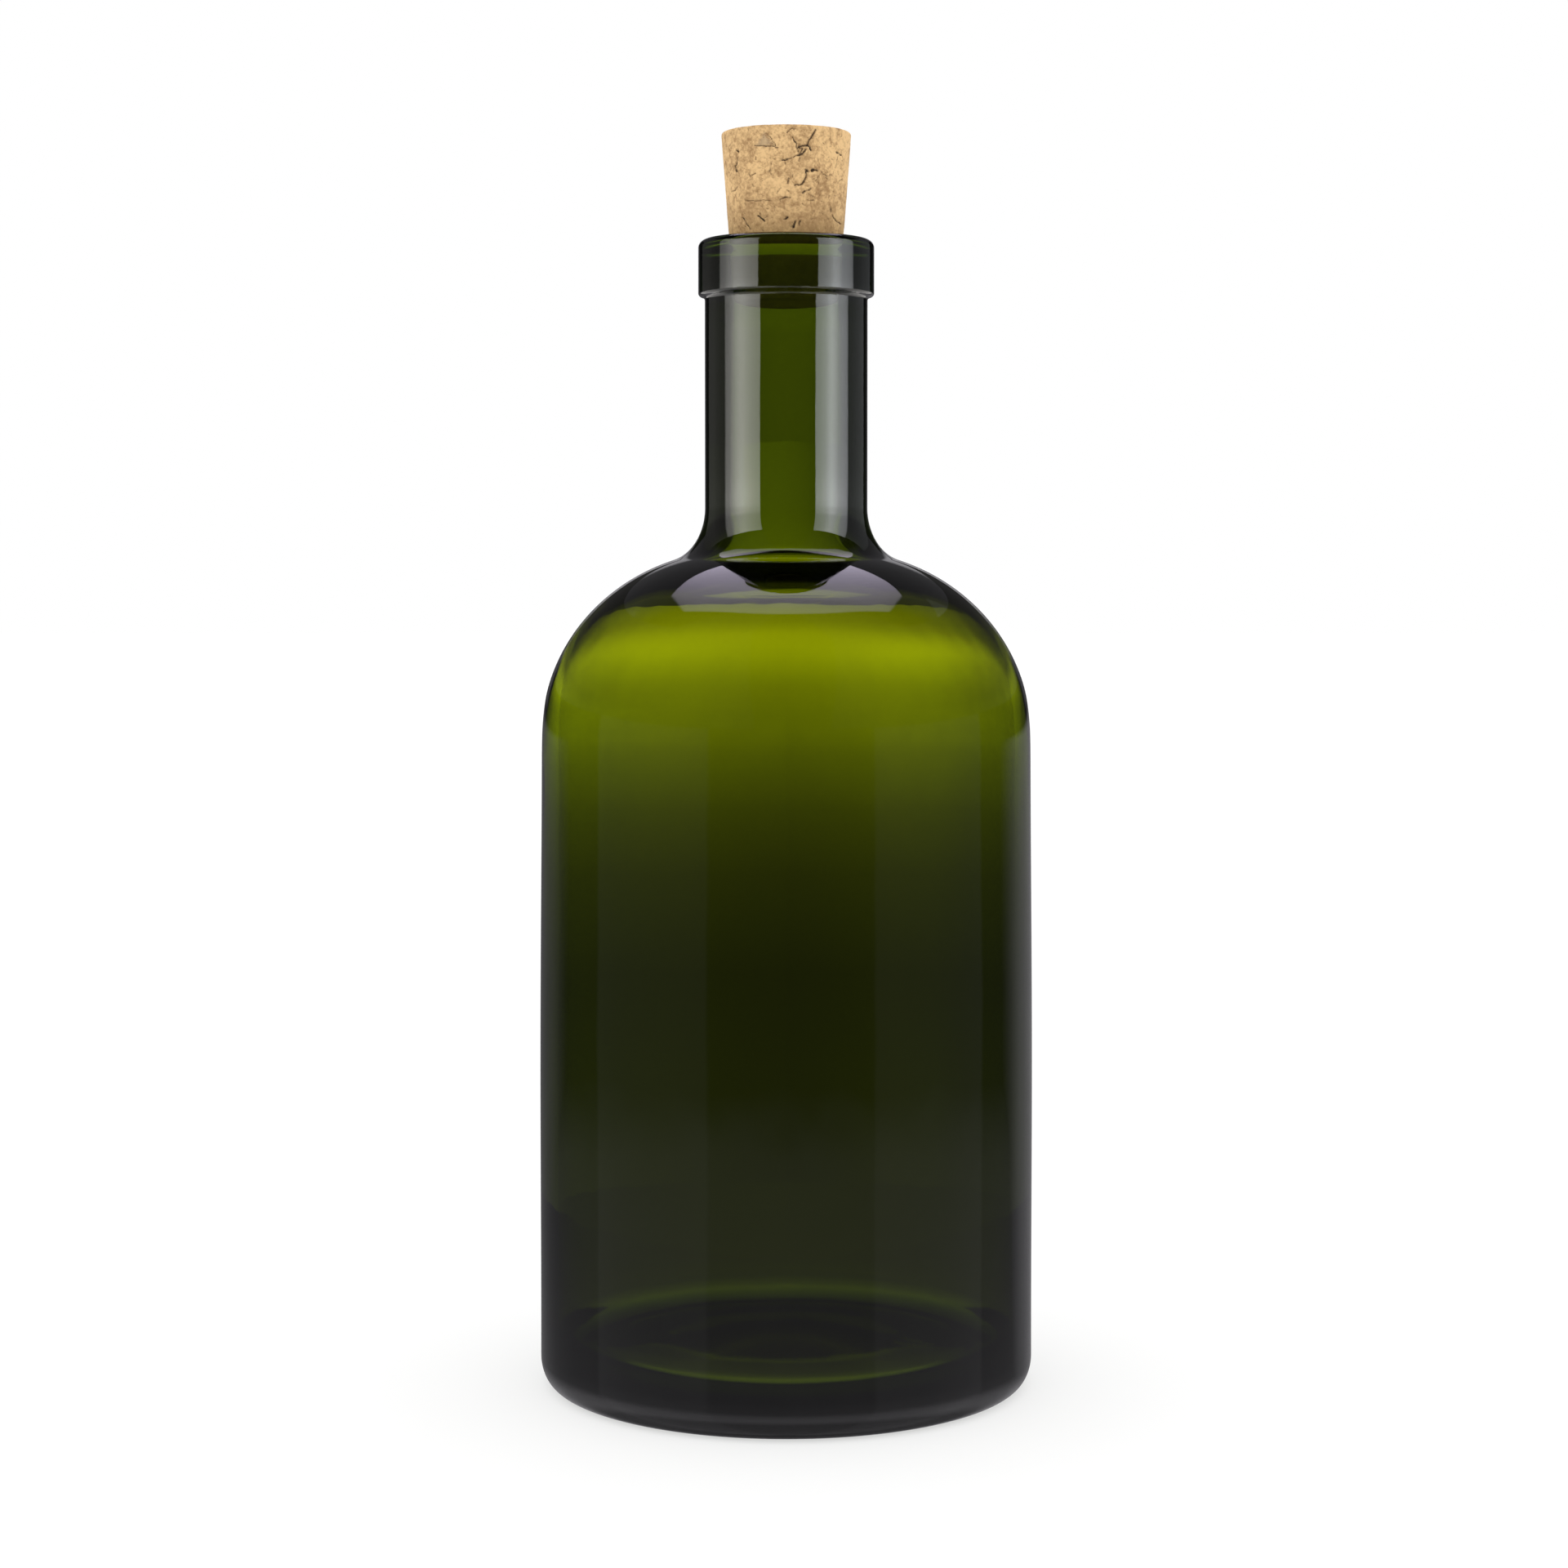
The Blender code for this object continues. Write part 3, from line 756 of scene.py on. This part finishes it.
        deep = n.math("MAXIMUM", n.step(path["Transmission Depth"], 2.2, 2.8), n.step(z, 0.124, 0.138))
        inside = n.math("MULTIPLY", n.step(path["Glossy Depth"], 0.2, 0.8), deep)
        glow = n.math("MULTIPLY", glow, n.math("MULTIPLY_ADD", inside, -0.85, 1.0))
        n.put(bsdf.inputs["Emission Strength"],
              n.math("MAXIMUM", glow, n.step(path["Diffuse Depth"], 0.2, 0.8)))

    def light(self, scene):
        """Studio round the bottle, by direction: white to the camera, soft light on matt things, a
        table, low walls and boxes in polished things, and a glow through the glass."""
        world = bpy.data.worlds.new("studio")
        world.use_nodes = True
        scene.world = world
        n = Nodes(world.node_tree)
        x, y, z = n.parts(n.add("ShaderNodeTexCoord").outputs["Generated"])
        rise = n.math("MULTIPLY", n.math("ARCSINE", z), DEGREES)
        turn = n.math("MULTIPLY", n.math("ARCTAN2", x, n.math("MULTIPLY", y, -1.0)), DEGREES)
        side = n.math("ABSOLUTE", turn)
        path = n.add("ShaderNodeLightPath").outputs

        # What polished things show
        boxes = n.math("MAXIMUM", n.window(turn, -97.0, -36.0, 1.2), n.window(turn, 41.0, 102.0, 1.2))
        boxes = n.math("MULTIPLY", boxes, n.step(rise, 30.0, 5.0, 0.02, 0.075))
        table = n.ramp(rise, -90.0, 10.0, [
            (-90.0, 0.40), (-45.0, 0.40), (-35.0, 0.72), (-25.0, 0.66), (-13.0, 0.215), (-10.8, 0.17),
            (-9.2, 0.04), (-2.0, 0.03), (10.0, 0.02)])
        table = n.math("MULTIPLY", table, n.step(side, 85.0, 140.0, 1.15, 0.62))
        mirror = n.math("ADD", boxes, n.math("MAXIMUM", self.back_wall(n, turn, side, rise), table))
        mirror = n.mix(1.0, (0.97, 0.95, 1.0), mirror, "MULTIPLY")
        panel = n.mix(1.0, (0.93, 0.84, 1.06), self.overhead_panel(n, x, y, z), "MULTIPLY")
        mirror = n.mix(1.0, mirror, panel, "ADD")

        # What shows through the glass, and the soft light
        through = n.ramp(rise, -90.0, 90.0, [
            (-90.0, 0.40), (-47.0, 0.36), (-37.0, 0.13), (-30.0, 0.06), (-12.3, 0.045), (-9.0, 0.05),
            (0.0, 0.25), (2.0, 0.29), (4.0, 0.33), (6.0, 0.37), (8.4, 0.44), (9.6, 0.38), (10.6, 0.06),
            (22.0, 0.05), (30.0, 0.20), (38.0, 0.75), (90.0, 0.75)])
        through = n.math("MULTIPLY", through, n.step(path["Glossy Depth"], 0.2, 0.8, 1.0, 0.1))
        soft = n.math("MULTIPLY_ADD", z, 0.35, 1.05)
        colour = n.mix(path["Is Glossy Ray"], soft, mirror)
        colour = n.mix(path["Is Transmission Ray"], colour, through)
        colour = n.mix(n.step(path["Diffuse Depth"], 0.2, 0.8), colour, soft)
        colour = n.mix(path["Is Camera Ray"], colour, (1.0, 1.0, 1.0))
        n.put(world.node_tree.nodes["Background"].inputs["Color"], colour)

    def overhead_panel(self, n, x, y, z):
        """Level of the panel over the bottle, by the point (across, along) where a direction meets the
        plane one unit up: nought outside the edges across = 0.56, along = 1.1 across^2 - 0.06 and
        along = 1.67 - 1.72 across. Inside it falls as 2.35 - 4.5 across^2 and rises with along."""
        up = n.math("MAXIMUM", z, 0.05)
        across = n.math("ABSOLUTE", n.math("DIVIDE", x, up))
        along = n.math("DIVIDE", y, up)
        bow = n.math("MULTIPLY", across, across)
        past_front = n.math("SUBTRACT", along, n.math("MULTIPLY_ADD", bow, 1.1, -0.06))
        before_back = n.math("SUBTRACT", n.math("MULTIPLY_ADD", across, -1.72, 1.67), along)
        depth = n.ramp(along, -0.1, 0.6, [(-0.1, 0.45), (0.0, 0.55), (0.15, 0.70), (0.3, 0.92), (0.6, 1.0)])
        level = n.math("MULTIPLY_ADD", bow, -4.5, 2.35)
        for factor in (n.step(across, 0.575, 0.545), n.step(past_front, -0.015, 0.015),
                       n.step(before_back, -0.015, 0.015), depth, n.step(z, 0.2, 0.4)):
            level = n.math("MULTIPLY", level, factor)
        return level

    def back_wall(self, n, turn, side, rise):
        """Level of the faint lights on the far side, by azimuth and rise: a band at the horizon, wings
        below it, brighter to the right, and above it, and a patch between the upper wings."""
        wing = n.step(side, 112.0, 142.0)
        band = n.math("MULTIPLY", n.step(side, 156.0, 162.0, 0.0, 0.1), n.window(rise, -0.5, 6.8, 0.7))
        lower = n.math("MULTIPLY", n.math("MULTIPLY", wing, n.step(rise, -0.5, -2.0)),
                       n.step(turn, -1.0, 1.0, 0.12, 0.24))
        upper = n.math("MULTIPLY", n.math("MULTIPLY", wing, n.step(rise, 16.0, 18.5)), 0.10)
        patch = n.math("MULTIPLY", n.step(side, 163.0, 171.0), n.window(rise, 6.0, 18.0, 2.0))
        return n.math("ADD", n.math("ADD", band, lower), n.math("MULTIPLY_ADD", patch, 0.5, upper))


class BOTTLE_PT_panel(bpy.types.Panel):
    """Buttons and sizes of the bottle"""
    bl_idname = "BOTTLE_PT_panel"
    bl_label = "Corked Bottle"
    bl_space_type = "VIEW_3D"
    bl_region_type = "UI"
    bl_category = "Bottle"

    def draw(self, context):
        for operator, group in (("bottle.blow_glass", "bottle_glass"),
                                ("bottle.press_cork", "bottle_cork"),
                                ("bottle.set_stage", "bottle_stage")):
            self.layout.operator(operator)
            settings = getattr(context.scene, group)
            for key in settings.__annotations__:
                self.layout.prop(settings, key)


CLASSES = (GlassSettings, CorkSettings, StageSettings, BOTTLE_OT_glass, BOTTLE_OT_cork, BOTTLE_OT_stage,
           BOTTLE_PT_panel)


def register():
    """Register the classes and their settings."""
    for cls in CLASSES:
        bpy.utils.register_class(cls)
    bpy.types.Scene.bottle_glass = PointerProperty(type=GlassSettings)
    bpy.types.Scene.bottle_cork = PointerProperty(type=CorkSettings)
    bpy.types.Scene.bottle_stage = PointerProperty(type=StageSettings)


def unregister():
    """Take the classes and their settings away again."""
    del bpy.types.Scene.bottle_glass, bpy.types.Scene.bottle_cork, bpy.types.Scene.bottle_stage
    for cls in reversed(CLASSES):
        bpy.utils.unregister_class(cls)


def main():
    """Build the bottle, the cork and the stage."""
    register()
    bpy.ops.bottle.blow_glass()
    bpy.ops.bottle.press_cork()
    bpy.ops.bottle.set_stage()


if __name__ == "__main__":
    main()
